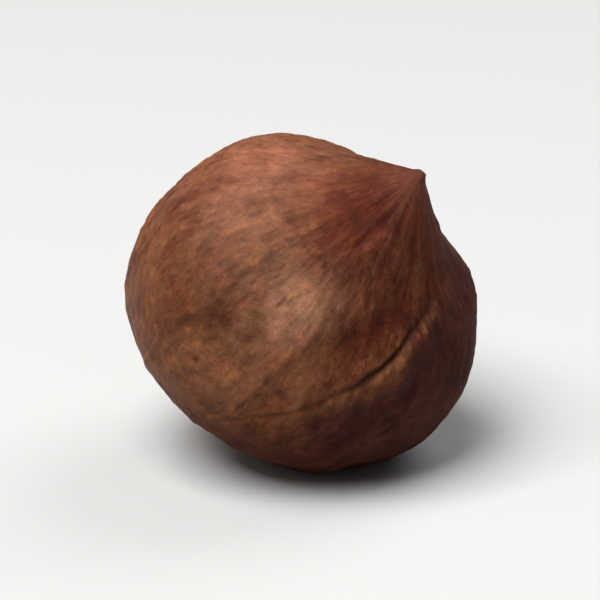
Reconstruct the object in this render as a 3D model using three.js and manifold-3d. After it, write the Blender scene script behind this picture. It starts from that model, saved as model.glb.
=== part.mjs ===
// A hazelnut kernel out of its shell, whole in its brown skin, lying on one side with its tip raised.
// It is one solid. Units are millimetres, +Z is up, the tip leans towards +X, and the origin is the
// middle of the small flat spot that the kernel rests on.

import * as THREE from "three";
import { mergeVertices } from "three/addons/utils/BufferGeometryUtils.js";
import Module from "manifold-3d";

const { clamp, degToRad, euclideanModulo } = THREE.MathUtils;

// The round body, and how far its tip leans from upright.
const BODY_RADIUS = 8.1;
const LEAN = degToRad(42);
const SEGMENTS_AROUND = 80;
const SEGMENTS_ALONG = 46;

// The tip: a short blunt nib on slightly hollow flanks.
const TIP_REACH = 2.25;
const TIP_SPREAD = degToRad(10);
const TIP_ROUNDING = degToRad(2.6);
const FLANK_HOLLOW = 0.53;
const FLANK_ANGLE = degToRad(33);
const FLANK_SPREAD = degToRad(17);

// The base: a broad flattening with a shallow round scar where the kernel was attached.
const BASE_FLATTENING = 0.9;
const BASE_SPREAD = degToRad(52);
const SCAR_DEPTH = 0.18;
const SCAR_SPREAD = degToRad(15);

// Broad swellings and flats that keep the body from being round. Each lies at an angle from the tip
// and at a turn round the axis, where a turn of 0 is the side that faces the ground.
const SWELLINGS = [
  { fromTip: 81, turn: 11, spread: 38, height: 1.0 },
  { fromTip: 52, turn: 33, spread: 34, height: 0.26 },
  { fromTip: 52, turn: 159, spread: 34, height: 0.23 },
  { fromTip: 75, turn: -169, spread: 30, height: -0.27 },
  { fromTip: 148, turn: -65, spread: 34, height: -0.5 },
  { fromTip: 44, turn: 41, spread: 13, height: 0.38 },
];

// Low ribs that run from the tip to the base under the skin.
const RIB_COUNT = 10;
const RIB_HEIGHT = 0.05;

// The slanting fold in the skin: a lip on its lower side and a hollow on its upper side.
const FOLD_TURN = degToRad(4);
const FOLD_SLANT = 0.73; // turn per angle from the tip
const FOLD_HEIGHT = 0.18;
const FOLD_WIDTH = 1.1;
const FOLD_MIDDLE = degToRad(56);
const FOLD_REACH = degToRad(26);

// The flat spot: the body's centre stands this far above it, and off to one side of it.
const REST_HEIGHT = 7.36;
const REST_OFFSET_X = 1.66;
const REST_OFFSET_Y = 0.42;
const GROUND_SIZE = 30;
const GROUND_DEPTH = 5;

const SKIN_COLOUR = 0x7b4b33;

// A smooth bump, 1 at distance 0 and fading out past the spread.
function bump(distance, spread) {
  return Math.exp(-((distance / spread) ** 2));
}

// The unit direction at an angle from the tip and a turn round the axis, with the tip at +Z.
function directionAt(fromTip, turn) {
  const across = Math.sin(fromTip);
  return new THREE.Vector3(across * Math.cos(turn), across * Math.sin(turn), Math.cos(fromTip));
}

const swellings = SWELLINGS.map(({ fromTip, turn, spread, height }) => ({
  direction: directionAt(degToRad(fromTip), degToRad(turn)),
  spread: degToRad(spread),
  height,
}));

// The fold's height at a point, as a lip beyond the crease and a hollow before it.
function foldHeight(fromTip, turn) {
  const crease = FOLD_TURN - FOLD_SLANT * fromTip;
  const turnPast = euclideanModulo(turn - crease + Math.PI, 2 * Math.PI) - Math.PI;
  const across = (BODY_RADIUS * Math.sin(fromTip) * turnPast) / FOLD_WIDTH;
  const profile = across * Math.exp((1 - across * across) / 2);
  return FOLD_HEIGHT * profile * bump(fromTip - FOLD_MIDDLE, FOLD_REACH);
}

// The distance from the body's centre to its surface in one direction.
function kernelRadius(direction) {
  const fromTip = Math.acos(clamp(direction.z, -1, 1));
  const fromBase = Math.PI - fromTip;
  const turn = Math.atan2(direction.y, direction.x);
  let radius = BODY_RADIUS + TIP_REACH * Math.exp(-Math.hypot(fromTip, TIP_ROUNDING) / TIP_SPREAD);
  radius -= FLANK_HOLLOW * bump(fromTip - FLANK_ANGLE, FLANK_SPREAD);
  radius -= BASE_FLATTENING * bump(fromBase, BASE_SPREAD) + SCAR_DEPTH * bump(fromBase, SCAR_SPREAD);
  for (const swelling of swellings)
    radius += swelling.height * bump(direction.angleTo(swelling.direction), swelling.spread);
  radius += RIB_HEIGHT * Math.cos(RIB_COUNT * turn) * Math.sin(fromTip) ** 2;
  return radius + foldHeight(fromTip, turn);
}

// The body in its own frame, tip up, as a sphere whose points are pushed out to the kernel's surface.
function bodyGeometry() {
  const geometry = new THREE.SphereGeometry(1, SEGMENTS_AROUND, SEGMENTS_ALONG);
  geometry.rotateX(Math.PI / 2);
  const position = geometry.getAttribute("position");
  const direction = new THREE.Vector3();
  for (let i = 0; i < position.count; i++) {
    direction.fromBufferAttribute(position, i).normalize();
    direction.multiplyScalar(kernelRadius(direction));
    position.setXYZ(i, direction.x, direction.y, direction.z);
  }
  return geometry;
}

const wasm = await Module();
wasm.setup();

function toSolid(geometry) {
  const shell = geometry.clone();
  shell.deleteAttribute("normal");
  shell.deleteAttribute("uv");
  const merged = mergeVertices(shell);
  return new wasm.Manifold(
    new wasm.Mesh({
      numProp: 3,
      vertProperties: merged.getAttribute("position").array,
      triVerts: new Uint32Array(merged.index.array),
    }),
  );
}

function toGeometry(solid) {
  const { vertProperties, triVerts } = solid.getMesh();
  const geometry = new THREE.BufferGeometry();
  geometry.setAttribute("position", new THREE.BufferAttribute(vertProperties, 3));
  geometry.setIndex(new THREE.BufferAttribute(triVerts, 1));
  geometry.computeVertexNormals();
  return geometry;
}

// The kernel as it lies: leaned over, set into the ground a little, and cut flat where they meet.
function kernelMesh() {
  const body = bodyGeometry();
  body.rotateY(LEAN);
  body.translate(-REST_OFFSET_X, -REST_OFFSET_Y, REST_HEIGHT);
  const ground = new THREE.BoxGeometry(GROUND_SIZE, GROUND_SIZE, GROUND_DEPTH);
  ground.translate(0, 0, -GROUND_DEPTH / 2);
  const skin = new THREE.MeshStandardMaterial({ color: SKIN_COLOUR, roughness: 0.55, metalness: 0 });
  const mesh = new THREE.Mesh(toGeometry(toSolid(body).subtract(toSolid(ground))), skin);
  mesh.name = "hazelnut_kernel";
  return mesh;
}

const hazelnut = new THREE.Group();
hazelnut.add(kernelMesh());

export default hazelnut;
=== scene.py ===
import math

import bmesh
import bpy
import numpy as np
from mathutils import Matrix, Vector, noise


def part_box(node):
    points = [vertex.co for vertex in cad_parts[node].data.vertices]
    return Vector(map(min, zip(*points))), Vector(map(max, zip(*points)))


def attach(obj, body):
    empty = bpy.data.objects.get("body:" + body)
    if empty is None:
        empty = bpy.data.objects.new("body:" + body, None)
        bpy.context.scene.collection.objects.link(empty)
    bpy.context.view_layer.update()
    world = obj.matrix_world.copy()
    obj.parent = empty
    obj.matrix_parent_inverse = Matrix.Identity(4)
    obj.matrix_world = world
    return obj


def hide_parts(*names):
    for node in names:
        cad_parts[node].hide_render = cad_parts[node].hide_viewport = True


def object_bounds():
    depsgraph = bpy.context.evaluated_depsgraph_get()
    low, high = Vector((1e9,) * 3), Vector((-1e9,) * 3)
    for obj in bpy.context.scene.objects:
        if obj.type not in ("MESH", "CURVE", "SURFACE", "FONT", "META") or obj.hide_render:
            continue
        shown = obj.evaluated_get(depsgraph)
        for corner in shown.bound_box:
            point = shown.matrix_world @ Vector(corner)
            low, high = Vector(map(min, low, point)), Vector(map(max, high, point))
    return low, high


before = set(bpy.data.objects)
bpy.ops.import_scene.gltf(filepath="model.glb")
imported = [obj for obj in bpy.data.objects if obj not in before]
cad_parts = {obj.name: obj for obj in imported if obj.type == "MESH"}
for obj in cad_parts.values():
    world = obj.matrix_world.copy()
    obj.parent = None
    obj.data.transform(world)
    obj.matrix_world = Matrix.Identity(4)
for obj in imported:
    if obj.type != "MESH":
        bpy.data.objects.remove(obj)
cad_low, cad_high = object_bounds()


# ---- The kernel's body ----
# A hazelnut kernel is one dry seed, as round as the shell that it filled. One end draws in to a short
# point, where its root would have come out, and the other is flattened where it hung from the shell.
# Here a ball of fine squares is pushed out to that shape. Sizes are in millimetres until it is laid down.
MM = 0.001
SQUARES_PER_SIDE = 128
BODY_RADIUS = 8.1
LEAN = math.radians(42)

TIP_REACH = 2.25
TIP_SPREAD = math.radians(10)
TIP_ROUNDING = math.radians(2.6)
FLANK_HOLLOW = 0.53
FLANK_ANGLE = 33
FLANK_SPREAD = 17
BASE_FLATTENING = 0.9
BASE_SPREAD = math.radians(52)

# Each swelling or flat: degrees from the tip, turn round the axis (0 faces the ground), spread, height.
SWELLINGS = (
    (81, 11, 38, 1.0),
    (52, 33, 34, 0.26),
    (52, 159, 34, 0.23),
    (75, -169, 30, -0.27),
    (148, -65, 34, -0.5),
    (44, 41, 13, 0.38),
)

skin_mesh = bpy.data.meshes.new("hazelnut_kernel_skin")
block = bmesh.new()
bmesh.ops.create_cube(block, size=2)
bmesh.ops.subdivide_edges(block, edges=block.edges[:], cuts=SQUARES_PER_SIDE - 1, use_grid_fill=True)
block.to_mesh(skin_mesh)
block.free()
skin_mesh.shade_smooth()


def read_vectors(items, name):
    values = np.empty(len(items) * 3, np.float32)
    items.foreach_get(name, values)
    return values.reshape(-1, 3).astype(float)


# The block's points go onto the ball at even angles, so that its squares come out nearly alike.
block_points = read_vectors(skin_mesh.vertices, "co")
ball = np.tan(block_points * math.pi / 4)
ball /= np.linalg.norm(ball, axis=1, keepdims=True)
from_tip = np.arccos(np.clip(ball[:, 2], -1, 1))
from_base = math.pi - from_tip
turn = np.arctan2(ball[:, 1], ball[:, 0])
girth = BODY_RADIUS * np.sin(from_tip)


# A smooth hump, 1 where the distance is 0 and fading out past the spread.
def hump(distance, spread):
    return np.exp(-((distance / spread) ** 2))


# A hump that runs right round the kernel, at so many degrees from its tip.
def band(degrees_from_tip, degrees_wide):
    return hump(from_tip - math.radians(degrees_from_tip), math.radians(degrees_wide))


# The angle between each point of the skin and one spot on it.
def angle_from(degrees_from_tip, degrees_of_turn):
    tipped, turned = math.radians(degrees_from_tip), math.radians(degrees_of_turn)
    across = math.sin(tipped)
    spot = np.array((across * math.cos(turned), across * math.sin(turned), math.cos(tipped)))
    return np.arccos(np.clip(ball @ spot, -1, 1))


radius = BODY_RADIUS + TIP_REACH * np.exp(-np.hypot(from_tip, TIP_ROUNDING) / TIP_SPREAD)
radius -= FLANK_HOLLOW * band(FLANK_ANGLE, FLANK_SPREAD)
radius -= BASE_FLATTENING * hump(from_base, BASE_SPREAD)
for degrees_from_tip, degrees_of_turn, degrees_across, height in SWELLINGS:
    radius += height * hump(angle_from(degrees_from_tip, degrees_of_turn), math.radians(degrees_across))
body = ball * radius[:, None]


# ---- The skin's relief ----
# The skin is a papery brown seed coat that dried onto the kernel. Vessels run under it from the base to
# the tip and stand up as veins, and between them it shrank into fine wrinkles. One slanting fold, where
# the two halves of the seed parted a little, runs down one side.
NOISE_SOFTNESS = 0.8
NOISE_STEP = 2.0
RIDGE_SOFTNESS = 0.9
RIDGE_STEP = 2.1
RIDGE_OFFSET = 1.0
RIDGE_GAIN = 2.0


def smooth_noise(points, scale, layers):
    spots = (points * scale).tolist()
    return np.array([noise.fractal(spot, NOISE_SOFTNESS, NOISE_STEP, layers) for spot in spots])


def ridge_noise(points, scale, layers):
    settings = (RIDGE_SOFTNESS, RIDGE_STEP, layers, RIDGE_OFFSET, RIDGE_GAIN)
    return np.array([noise.ridged_multi_fractal(spot, *settings) for spot in (points * scale).tolist()])


# How much farther off the second nearest cell is than the nearest, which is 0 on the lines between them.
def cell_gap(points, scale):
    nearest = [noise.voronoi(spot)[0] for spot in (points * scale).tolist()]
    return np.array([second - first for first, second, _, _ in nearest])


# How far each point lies past a line that runs from tip to base, measured round the kernel.
def past_line(line_turn):
    return girth * ((turn - line_turn + math.pi) % (2 * math.pi) - math.pi)


# Grain runs from tip to base, so noise read at these points is drawn out along the kernel.
GRAIN_STRETCH = 0.42
grain = np.column_stack((np.cos(turn), np.sin(turn), GRAIN_STRETCH * from_tip))
between_ends = band(85, 75)

# The veins start round the base, wander and branch on their way up, and close in on the tip.
VEIN_COUNT = 13
VEIN_HEIGHT = 0.095
VEIN_WIDTH = 0.26
VEIN_RIPPLE = 0.03
RIPPLE_PACE = 9
BRANCH_HEIGHT = 0.06
BRANCH_WIDTH = 0.19
BRANCH_BEND = 0.35
BRANCH_LENGTH = 0.7
draw = np.random.default_rng(21)
veins = np.zeros(len(ball))
vein_fade = band(100, 70)
for vein in range(VEIN_COUNT):
    start = 2 * math.pi * (vein + draw.uniform(-0.3, 0.3)) / VEIN_COUNT
    sway, pace, phase = draw.uniform(0.05, 0.13), draw.uniform(1.5, 3.0), draw.uniform(0, 2 * math.pi)
    strength = draw.uniform(0.45, 1.0)
    line = start + sway * np.sin(pace * from_tip + phase)
    line += VEIN_RIPPLE * np.sin(RIPPLE_PACE * from_tip + 2 * phase)
    veins = np.maximum(veins, strength * vein_fade * hump(past_line(line), VEIN_WIDTH))
    for side in (-1, 1):
        fork = math.radians(draw.uniform(70, 145))
        reach = draw.uniform(0.10, 0.22)
        run = np.clip(fork - from_tip, 0, None)
        branch = line + side * reach * (1 - np.exp(-run / BRANCH_BEND))
        taper = strength * (run > 0) * np.exp(-run / BRANCH_LENGTH) * BRANCH_HEIGHT / VEIN_HEIGHT
        veins = np.maximum(veins, taper * hump(past_line(branch), BRANCH_WIDTH))

# The fold: a narrow crease, a lip on its lower side and a wide hollow on its upper side. It bends down
# as it nears the tip, and past its deepest stretch it goes on as a faint line.
FOLD_TURN = math.radians(4)
FOLD_SLANT = 0.73
FOLD_WANDER = 0.035
FOLD_BEND = math.radians(9)
LIP_HEIGHT = 0.2
LIP_WIDTH = 0.8
HOLLOW_DEPTH = 0.32
HOLLOW_WIDTH = 1.5
HOLLOW_OFFSET = 1.15 * HOLLOW_WIDTH
CREASE_DEPTH = 0.24
CREASE_WIDTH = 0.18
FAINT_LINE = 0.4
fold_line = FOLD_TURN - FOLD_SLANT * from_tip + FOLD_WANDER * smooth_noise(ball, 3.4, 3)
fold_line += FOLD_BEND * band(36, 9)
past_fold = past_line(fold_line)
fold_run = band(56, 23)
faint_run = band(82, 28)
lip = hump(past_fold - LIP_WIDTH, LIP_WIDTH) * fold_run
hollow = hump(past_fold + HOLLOW_OFFSET, HOLLOW_WIDTH) * band(48, 21)
crease = hump(past_fold, CREASE_WIDTH) * np.maximum(fold_run**2, FAINT_LINE * faint_run)

# Unevenness from large to small: pressed sides, dimples, knobs, long wrinkles, and a fine net of creases.
# Each reads the noise at a place of its own, and some stretches of the skin are rougher than others.
PRESSED_DEPTH = 0.09
DIMPLE_DEPTH = 0.035
KNOB_HEIGHT = 0.035
WRINKLE_HEIGHT = 0.045
FINE_WRINKLE_HEIGHT = 0.03
NET_DEPTH = 0.04
NET_WANDER = 0.05
NET_LINE_WIDTH = 0.25
USUAL_ROUGHNESS = 0.45
ROUGHNESS_RANGE = 1.5
pressed = smooth_noise(ball, 1.7, 2)
dimples = smooth_noise(ball, 5.2, 3)
knobs = smooth_noise(ball + 3.0, 12.0, 2)
wrinkles = ridge_noise(grain, 5.5, 2) - 1.0
fine_wrinkles = ridge_noise(grain + 4.0, 14.0, 3) - 1.0
net = np.clip(cell_gap(grain + NET_WANDER * dimples[:, None], 11.0), 0, NET_LINE_WIDTH) / NET_LINE_WIDTH
roughened = np.clip(USUAL_ROUGHNESS + ROUGHNESS_RANGE * smooth_noise(ball + 5.0, 2.1, 3), 0, 1)

# Small dry pits, drawn out along the grain and thickest on the shoulder round the tip.
PIT_COUNT = 110
PIT_DEPTH = 0.06
PIT_RAGGEDNESS = 0.9
pits = np.zeros(len(ball))
pit_edge = PIT_RAGGEDNESS * smooth_noise(ball, 14.0, 2)
for _ in range(PIT_COUNT):
    pit_from_tip = math.radians(draw.triangular(15, 60, 165))
    pit_turn = draw.uniform(-math.pi, math.pi)
    pit_width, pit_length = draw.uniform(0.06, 0.15), draw.uniform(0.12, 0.6)
    pit_strength = draw.uniform(0.2, 1.0)
    pit_across = past_line(pit_turn) / pit_width
    pit_along = BODY_RADIUS * (from_tip - pit_from_tip) / pit_length
    pits = np.maximum(pits, pit_strength * hump(np.hypot(pit_across, pit_along) + pit_edge, 1.0))

# Furrows close in on the tip, and the tip ends in a small dry nib.
TIP_FURROWS = 17
FURROW_DEPTH = 0.04
FURROW_WANDER = 2.5
NIB_HEIGHT = 0.22
NIB_RAGGEDNESS = 0.5
nib = band(0, 1.9) * (1 + NIB_RAGGEDNESS * smooth_noise(ball, 30.0, 2))
furrows = np.cos(TIP_FURROWS * turn + FURROW_WANDER * smooth_noise(ball, 3.0, 2)) * band(16, 13)

# The scar at the base: a shallow round dish with a ragged edge, a low rim and rays.
SCAR_RADIUS = math.radians(17)
SCAR_DEPTH = 0.2
SCAR_WANDER = 0.14
SCAR_RAGGEDNESS = 0.10
SCAR_EDGE_WIDTH = math.radians(1.6)
RIM_HEIGHT = 0.08
RIM_WIDTH = math.radians(3.5)
RIM_PLACE = 1.12
RAY_COUNT = 23
RAY_HEIGHT = 0.04
ragged = 1 + SCAR_WANDER * smooth_noise(ball, 3.3, 2) + SCAR_RAGGEDNESS * smooth_noise(ball, 14.0, 3)
scar_edge = SCAR_RADIUS * ragged
scar = 1 / (1 + np.exp((from_base - scar_edge) / SCAR_EDGE_WIDTH))
scar_rim = hump(from_base - scar_edge * RIM_PLACE, RIM_WIDTH)
scar_rays = np.cos(RAY_COUNT * turn + 2 * dimples) * np.clip(from_base / SCAR_RADIUS, 0, 1) * scar


# Part of each wrinkle shows everywhere, and all of it where the skin is at its roughest.
def showing(part_everywhere):
    return part_everywhere + (1 - part_everywhere) * roughened


fine_relief = (
    VEIN_HEIGHT * veins
    + WRINKLE_HEIGHT * wrinkles * between_ends * showing(0.35)
    + FINE_WRINKLE_HEIGHT * fine_wrinkles * between_ends * showing(0.3)
    + NET_DEPTH * (net - 1) * roughened * between_ends
    + KNOB_HEIGHT * knobs * between_ends
    + FURROW_DEPTH * furrows
    + RAY_HEIGHT * scar_rays
    - PIT_DEPTH * pits
)
relief = (
    fine_relief
    + PRESSED_DEPTH * pressed
    + DIMPLE_DEPTH * dimples
    + NIB_HEIGHT * nib
    + LIP_HEIGHT * lip
    - HOLLOW_DEPTH * hollow
    - CREASE_DEPTH * crease
    - SCAR_DEPTH * scar
    + RIM_HEIGHT * scar_rim
)


def place(points):
    skin_mesh.vertices.foreach_set("co", (points * MM).astype(np.float32).ravel())
    skin_mesh.update()


place(body)
outward = read_vectors(skin_mesh.vertex_normals, "vector")
relief_points = body + outward * relief[:, None]

# The kernel leans over and lies on its flat spot, in the box that the frame keeps for it. The skin is
# eased down onto the spot, so that it meets it without a sharp edge.
REST_BLEND = 0.05
lean = np.array(
    ((math.cos(LEAN), 0, -math.sin(LEAN)), (0, 1, 0), (math.sin(LEAN), 0, math.cos(LEAN)))
)
leaned = body @ lean
box_low, box_high = (np.array(corner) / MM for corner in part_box("hazelnut_kernel"))
shift = (box_low + box_high - leaned.min(0) - leaned.max(0)) / 2
shift[2] = box_high[2] - leaned[:, 2].max()
laid = relief_points @ lean + shift
above = laid[:, 2] - box_low[2]
laid[:, 2] = box_low[2] + (above + np.sqrt(above**2 + REST_BLEND**2)) / 2
place(laid)

kernel = bpy.data.objects.new("hazelnut_kernel_in_skin", skin_mesh)
bpy.context.scene.collection.objects.link(kernel)


# ---- The skin's colour and sheen ----
# Dry hazelnut skin is a mottled satin brown. It is redder where it is drawn tight round the tip, purple
# on the bulge below the fold, dark in its veins, and lighter where its ridges are worn. Painted shade
# darkens the bottom, the side under the tip, the hollow above the fold, the crease, the pits and the
# wrinkles, and painted highlights lighten two pale spots on the front and the lip below the fold's
# crease.
CHESTNUT = (0.125, 0.039, 0.014)
ORANGE_BROWN = (0.175, 0.058, 0.021)
PURPLE_BROWN = (0.092, 0.026, 0.013)
RUDDY_TAN = (0.238, 0.089, 0.049)
SCURF_TAN = (0.215, 0.086, 0.037)
PALE_TAN_AND_HIGHLIGHT = (0.290, 0.140, 0.078)
TIP_RED = (0.064, 0.006, 0.001)
DUSKY_BROWN = (0.058, 0.015, 0.005)
SHADED_BROWN = (0.026, 0.004, 0.001)
FOLD_PURPLE = (0.033, 0.0045, 0.004)
FOLD_RED_SHADE = (0.046, 0.0045, 0.001)
UNDERSIDE_PAINTED_SHADE = (0.062, 0.0125, 0.001)

# The broad patches of colour wander at their edges, with the blotches and the fibres of the skin.
BLOTCH_WANDER = 0.35
FIBRE_WANDER = 0.25
blotch = smooth_noise(ball + 9.0, 3.0, 3)
fibres = smooth_noise(grain * (9.0, 9.0, 6.0) + 2.0, 1.0, 3)
wandering = 1 + BLOTCH_WANDER * blotch + FIBRE_WANDER * fibres


def patch(degrees_from_tip, degrees_of_turn, degrees_across):
    return hump(angle_from(degrees_from_tip, degrees_of_turn) * wandering, math.radians(degrees_across))


UNDERSIDE_TOP = 4.2
UNDERSIDE_EDGE = 0.8
BULGE_EDGE = 0.4
BULGE_MIDDLE = 3.0
BULGE_SPREAD = 6.0
under_tip = patch(47, 2, 44)
below_fold = band(70, 45) * hump(past_fold - BULGE_MIDDLE, BULGE_SPREAD)
below_fold /= 1 + np.exp(-(past_fold - LIP_WIDTH) / BULGE_EDGE)
# Up to about UNDERSIDE_TOP above the board the colour is darkened with painted shade.
height_up = laid[:, 2] - box_low[2]
low_down = 1 / (1 + np.exp((height_up - UNDERSIDE_TOP - UNDERSIDE_EDGE * blotch) / UNDERSIDE_EDGE))

# The patches from the first laid down to the last: colour, strength and where.
COLOUR_PATCHES = (
    (DUSKY_BROWN, 0.9, patch(73, -105, 34)),
    (RUDDY_TAN, 0.75, patch(46, -158, 27)),
    # Paler skin with a faint painted highlight.
    (PALE_TAN_AND_HIGHLIGHT, 0.3, patch(52, -118, 16)),
    (SCURF_TAN, 0.7, patch(91, -82, 17)),
    # Painted shade, darker towards the bottom where the kernel lies on the board.
    (UNDERSIDE_PAINTED_SHADE, 0.92, low_down),
    # Painted shade over partly darker skin on the side under the tip that faces the ground, deepest low
    # on that side.
    (SHADED_BROWN, 0.96, under_tip),
    (SHADED_BROWN, 0.92, patch(84, -22, 18)),
    # Paler skin with a painted highlight: the pale spot on the front.
    (PALE_TAN_AND_HIGHLIGHT, 0.9, patch(57, -81, 12)),
    (DUSKY_BROWN, 0.3, patch(71, -101, 11)),
    (TIP_RED, 0.5, patch(8, 0, 24)),
    (TIP_RED, 0.92, patch(20, -97, 19)),
    # Painted shade in the hollow above the fold, over its redder skin.
    (FOLD_RED_SHADE, 0.92, hollow),
    (FOLD_PURPLE, 0.9, below_fold),
)
patch_colour = np.zeros((len(ball), 3))
patch_cover = np.zeros(len(ball))
for tone, strength, where in COLOUR_PATCHES:
    cover = np.clip(strength * where, 0, 1)
    patch_colour = patch_colour * (1 - cover[:, None]) + np.array(tone) * cover[:, None]
    patch_cover = patch_cover * (1 - cover) + cover


# What the material needs to know of each point of the skin is kept on the mesh under a name.
def keep_on_skin(name, values):
    values = np.asarray(values, np.float32)
    kind, slot = ("FLOAT_VECTOR", "vector") if values.ndim == 2 else ("FLOAT", "value")
    skin_mesh.attributes.new(name, kind, "POINT").data.foreach_set(slot, values.ravel())


THINNEST_COVER = 0.001
# Where the painted highlight lies along the lip below the fold's crease.
LIP_HIGHLIGHT_PLACE = 0.4
LIP_HIGHLIGHT_WIDTH = 0.28
SCAR_DOT_STRENGTH = 0.8
SCAR_DOT_SPREAD = math.radians(3)
RIDGE_AND_HOLLOW_HEIGHT = 0.12
scar_dot = SCAR_DOT_STRENGTH * hump(from_base, SCAR_DOT_SPREAD)
keep_on_skin("grain", grain)
keep_on_skin("patch_colour", patch_colour / np.maximum(patch_cover, THINNEST_COVER)[:, None])
keep_on_skin("patch_cover", patch_cover)
keep_on_skin("veins", veins)
keep_on_skin("crease", crease)
keep_on_skin("pits", pits)
keep_on_skin("lip_highlight", hump(past_fold - LIP_HIGHLIGHT_PLACE, LIP_HIGHLIGHT_WIDTH) * fold_run)
keep_on_skin("tip_nib", band(0, 7))
keep_on_skin("scar", scar)
keep_on_skin("scar_ring", np.clip(scar_rim + scar_dot, 0, 1))
keep_on_skin("dusty", np.maximum.reduce((low_down, below_fold, hollow, under_tip)))
# How high the fine relief stands: its worn ridges are lightened and its low places get painted shade.
keep_on_skin("rubbed_ridges_and_hollow_shade", np.clip(fine_relief / RIDGE_AND_HOLLOW_HEIGHT, -1, 1))

skin = bpy.data.materials.new("brown_skin")
skin.use_nodes = True
tree = skin.node_tree
shader = tree.nodes["Principled BSDF"]


# A socket takes what another node gives, or a plain number or colour.
def feed(socket, value):
    if isinstance(value, bpy.types.NodeSocket):
        tree.links.new(value, socket)
    elif isinstance(value, tuple):
        socket.default_value = (*value, 1)
    else:
        socket.default_value = value


def add(kind, inputs, **settings):
    made = tree.nodes.new("ShaderNode" + kind)
    for name, value in settings.items():
        setattr(made, name, value)
    for name, value in inputs.items():
        feed(made.inputs[name], value)
    return made


def on_skin(name, output="Fac"):
    return add("Attribute", {}, attribute_name=name).outputs[output]


# Brings a pattern's values from low to high out as to_low to to_high, eased at both ends.
def eased(pattern, low, high, to_low=0.0, to_high=1.0):
    ends = {"From Min": low, "From Max": high, "To Min": to_low, "To Max": to_high}
    return add("MapRange", {"Value": pattern, **ends}, interpolation_type="SMOOTHSTEP").outputs["Result"]


def reckon(operation, first, second):
    made = add("Math", {}, operation=operation)
    feed(made.inputs[0], first)
    feed(made.inputs[1], second)
    return made.outputs["Value"]


def times(first, second):
    return reckon("MULTIPLY", first, second)


def plus(first, second):
    return reckon("ADD", first, second)


def tint(under, colour, amount, how="MIX"):
    made = add("Mix", {}, data_type="RGBA", blend_type=how, clamp_factor=True)
    factor, below, over = (made.inputs[i] for i in (0, 6, 7))
    feed(factor, amount)
    feed(below, under)
    feed(over, colour)
    return made.outputs[2]


def mottle(where, scale, detail, roughness, distortion=0.0):
    inputs = {"Vector": where, "Scale": scale, "Detail": detail}
    return add("TexNoise", {**inputs, "Roughness": roughness, "Distortion": distortion}).outputs["Fac"]


# The skin's own patterns, from large blotches to speckle. The streaks follow the grain, and the scurf
# lies where the streaks are light, broken up by the speckle.
SPECKLE_IN_SCURF = 0.3
all_over = add("TexCoord", {}).outputs["Object"]
along_grain = on_skin("grain", "Vector")
broad = mottle(all_over, 330, 3, 0.6, 0.4)
rosy = mottle(all_over, 520, 3, 0.6, 0.6)
ochre = mottle(all_over, 610, 3, 0.6, 0.6)
lumps = mottle(all_over, 900, 2, 0.5, 0.3)
speckle = mottle(all_over, 2600, 5, 0.7)
streaks = mottle(along_grain, 7, 6, 0.66, 0.3)
fine_streaks = mottle(along_grain, 34, 6, 0.74)
scurf = eased(plus(streaks, times(speckle, SPECKLE_IN_SCURF)), 0.54, 0.78)

# The brown ground with its tan scurf comes first, then the broad patches, which let a little of the
# scurf through, and a painted highlight in the scurf's tan along the lip of the fold, broken by streaks.
SCURF_STRENGTH = 0.5
PATCH_OVER_SCURF = 0.84
LIP_HIGHLIGHT_STRENGTH = 0.45
colour = tint(PURPLE_BROWN, CHESTNUT, eased(broad, 0.36, 0.52))
colour = tint(colour, ORANGE_BROWN, eased(broad, 0.50, 0.66))
colour = tint(colour, SCURF_TAN, times(scurf, SCURF_STRENGTH))
patch_strength = times(on_skin("patch_cover"), eased(scurf, 0.0, 1.0, 1.0, PATCH_OVER_SCURF))
colour = tint(colour, on_skin("patch_colour", "Color"), patch_strength)
streaked_lip_highlight = times(on_skin("lip_highlight"), eased(streaks, 0.35, 0.6))
colour = tint(colour, SCURF_TAN, times(streaked_lip_highlight, LIP_HIGHLIGHT_STRENGTH))

# Shades and lights that deepen or lift the colour beneath them: the skin's own tones, its darker veins,
# its lighter worn ridges, and last the painted shade in the low places of the fine relief.
ROSY_CAST = (1.12, 1.00, 1.13)
OCHRE_CAST = (1.08, 1.06, 0.84)
LUMP_SHADE = (0.70, 0.64, 0.60)
LUMP_LIGHT = (1.30, 1.30, 1.30)
STREAK_SHADE = (0.62, 0.54, 0.52)
FIBRE_SHADE = (0.45, 0.38, 0.34)
FIBRE_LIGHT = (1.40, 1.45, 1.50)
RIDGE_LIGHT = (1.5, 1.55, 1.6)
# Painted shade in the wrinkles, the net's lines and the pits.
WRINKLE_SHADE = (0.42, 0.34, 0.30)

# Each: the shade or light, the pattern it follows, where in that it starts and is full, its strength.
SHADES_AND_LIGHTS = (
    (ROSY_CAST, rosy, 0.48, 0.66, 0.7),
    (OCHRE_CAST, ochre, 0.52, 0.34, 0.7),
    (LUMP_SHADE, lumps, 0.48, 0.32, 0.8),
    (LUMP_LIGHT, lumps, 0.52, 0.70, 0.8),
    (STREAK_SHADE, streaks, 0.47, 0.33, 0.6),
    (FIBRE_SHADE, fine_streaks, 0.47, 0.30, 0.7),
    (FIBRE_LIGHT, fine_streaks, 0.53, 0.70, 0.8),
    (FIBRE_SHADE, on_skin("veins"), 0.25, 0.8, 0.6),
    (RIDGE_LIGHT, on_skin("rubbed_ridges_and_hollow_shade"), 0.1, 0.8, 0.6),
    (WRINKLE_SHADE, on_skin("rubbed_ridges_and_hollow_shade"), -0.15, -0.8, 0.8),
)
for tone, pattern, start, full, strength in SHADES_AND_LIGHTS:
    colour = tint(colour, tone, times(eased(pattern, start, full), strength), "MULTIPLY")

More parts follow.
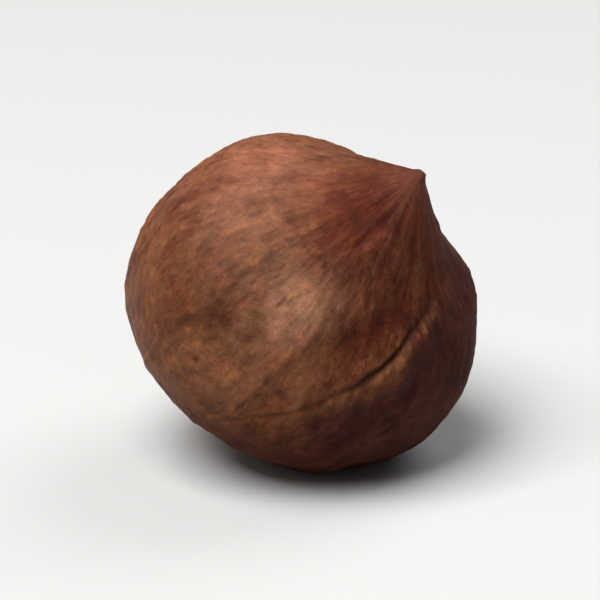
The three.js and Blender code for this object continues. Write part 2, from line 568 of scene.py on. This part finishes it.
# The marks: painted shade in the fold's crease and in the pits, the scar and its ring at the base, and
# the nib at the tip. Each has its colour, the name that its place is kept under, and its strength.
CREASE_SHADE_BLACK = (0.010, 0.003, 0.002)
PIT_SHADE_AND_RING_BROWN = (0.042, 0.010, 0.004)
SCAR_TAN = (0.230, 0.118, 0.060)
NIB_PINK = (0.190, 0.058, 0.040)
MARKS = (
    (CREASE_SHADE_BLACK, "crease", 0.85),
    # Painted shade in the pits; the same brown marks the ring round the scar.
    (PIT_SHADE_AND_RING_BROWN, "pits", 0.8),
    (PIT_SHADE_AND_RING_BROWN, "scar_ring", 0.65),
    (SCAR_TAN, "scar", eased(fine_streaks, 0.35, 0.6, 0.35, 0.8)),
    (NIB_PINK, "tip_nib", 0.6),
)
for tone, mark, strength in MARKS:
    colour = tint(colour, tone, times(on_skin(mark), strength))

# The finest speckle lies over everything.
SPECKLE_LIGHT = (1.35, 1.35, 1.35)
SPECKLE_SHADE = (0.72, 0.68, 0.66)
colour = tint(colour, SPECKLE_LIGHT, eased(speckle, 0.5, 0.72), "MULTIPLY")
colour = tint(colour, SPECKLE_SHADE, eased(speckle, 0.48, 0.28), "MULTIPLY")
feed(shader.inputs["Base Color"], colour)

# The skin has a soft sheen, broken by scurf and speckle, and is almost matt where it is dusty.
SHEEN = 0.1
SMOOTHEST = 0.36
SCURF_DULLING = 0.12
SPECKLE_DULLING = 0.2
DUST_DULLING = 0.3
dulling = plus(times(scurf, SCURF_DULLING), times(speckle, SPECKLE_DULLING))
dulling = plus(dulling, times(on_skin("dusty"), DUST_DULLING))
feed(shader.inputs["Roughness"], plus(dulling, SMOOTHEST))
shader.inputs["Specular IOR Level"].default_value = SHEEN

# What is too fine for the mesh: scurf, fibres and speckle, with their heights in millimetres.
FINEST_RELIEF = ((scurf, 0.02), (fine_streaks, 0.05), (speckle, 0.045))
surface = {}
for pattern, height in FINEST_RELIEF:
    roughed = add("Bump", {"Height": pattern, "Strength": 1.0, "Distance": height * MM, **surface})
    surface = {"Normal": roughed.outputs["Normal"]}
feed(shader.inputs["Normal"], surface["Normal"])

skin_mesh.materials.append(skin)
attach(kernel, "root")
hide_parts("hazelnut_kernel")


# ---- The unwrapping of the skin ----
# Each side of the block that the body was made from is one square panel of skin. The six panels lie side
# by side in three columns and two rows, a little apart, so that each bit of skin has its own place.
PANEL_COLUMNS = 3
PANEL_ROWS = 2
PANEL_MARGIN = 0.012
point_of_corner = np.empty(len(skin_mesh.loops), np.int32)
skin_mesh.loops.foreach_get("vertex_index", point_of_corner)
squares = block_points[point_of_corner].reshape(-1, 4, 3)
middles = squares.mean(1)
facing = np.abs(middles).argmax(1)[:, None]
each_square, each_corner = np.arange(len(squares))[:, None], np.arange(4)[None, :]
on_far_side = middles[each_square, facing] > 0
across = squares[each_square, each_corner, (facing + 1) % 3] / 2 + 0.5
up = squares[each_square, each_corner, (facing + 2) % 3] / 2 + 0.5
panel_width = 1 - 2 * PANEL_MARGIN
sheet_u = (facing + PANEL_MARGIN + panel_width * across) / PANEL_COLUMNS
sheet_v = (on_far_side + PANEL_MARGIN + panel_width * up) / PANEL_ROWS
unwrapped = skin_mesh.uv_layers.new(name="OFBake")
unwrapped.uv.foreach_set("vector", np.stack((sheet_u, sheet_v), -1).astype(np.float32).ravel())


# ---- The table top ----
# The kernel lies on a plain pale board with a matt painted face. The board is one flat sheet, wide
# enough that its edge is out of sight.
BOARD_SIDE = 1.2
BOARD_WHITE = (0.47, 0.467, 0.46, 1)
BOARD_ROUGHNESS = 0.7
board_mesh = bpy.data.meshes.new("table_top")
sheet = bmesh.new()
bmesh.ops.create_grid(sheet, x_segments=1, y_segments=1, size=BOARD_SIDE / 2)
sheet.to_mesh(board_mesh)
sheet.free()
table_top = bpy.data.objects.new("table_top", board_mesh)
table_top.location.z = cad_low.z
bpy.context.scene.collection.objects.link(table_top)
board = bpy.data.materials.new("pale_board")
board.use_nodes = True
paint = board.node_tree.nodes["Principled BSDF"]
paint.inputs["Base Color"].default_value = BOARD_WHITE
paint.inputs["Roughness"].default_value = BOARD_ROUGHNESS
board_mesh.materials.append(board)


# ---- The lights ----
# A large soft box hangs over the kernel from the front, a little to the left. A weaker one hangs behind
# it, a faint low one stands to the left, and the room itself is a dim even white.
LAMP_DISTANCE = 0.60
ROOM_WHITE = (1.0, 0.99, 0.975, 1)
ROOM_STRENGTH = 0.12
middle = (cad_low + cad_high) / 2


# Stands a lamp or the camera off from the kernel's middle, turned to face it.
def aim(name, fitting, azimuth, elevation, distance):
    azimuth, elevation = math.radians(azimuth), math.radians(elevation)
    level = math.cos(elevation)
    away = Vector((math.sin(azimuth) * level, -math.cos(azimuth) * level, math.sin(elevation)))
    stand = bpy.data.objects.new(name, fitting)
    stand.location = middle + away * distance
    stand.rotation_euler = away.to_track_quat("Z", "Y").to_euler()
    bpy.context.scene.collection.objects.link(stand)
    return stand


def soft_box(name, azimuth, elevation, side, power):
    lamp = bpy.data.lights.new(name, "AREA")
    lamp.size = side
    lamp.energy = power
    aim(name, lamp, azimuth, elevation, LAMP_DISTANCE)


soft_box("key_soft_box", azimuth=-18, elevation=64, side=0.42, power=7.2)
soft_box("back_soft_box", azimuth=160, elevation=48, side=0.40, power=1.6)
soft_box("fill_soft_box", azimuth=-50, elevation=30, side=0.38, power=0.28)

room = bpy.data.worlds.new("room")
room.use_nodes = True
walls = room.node_tree.nodes["Background"]
walls.inputs["Color"].default_value = ROOM_WHITE
walls.inputs["Strength"].default_value = ROOM_STRENGTH
bpy.context.scene.world = room


# ---- The camera ----
# A long lens on a tripod, a little above the kernel and turned so that the tip points up to the right
# and forward. It stands back until the frame is as wide as FRAME_WIDTH at the kernel's middle.
LENS = 150.0
NEAR_LIMIT = 0.005
FRAME_WIDTH = 0.0285
camera = bpy.data.cameras.new("camera")
camera.lens = LENS
camera.clip_start = NEAR_LIMIT
standing_back = FRAME_WIDTH * LENS / camera.sensor_width
bpy.context.scene.camera = aim("camera", camera, azimuth=27, elevation=20, distance=standing_back)
bpy.context.scene.view_settings.view_transform = "Standard"
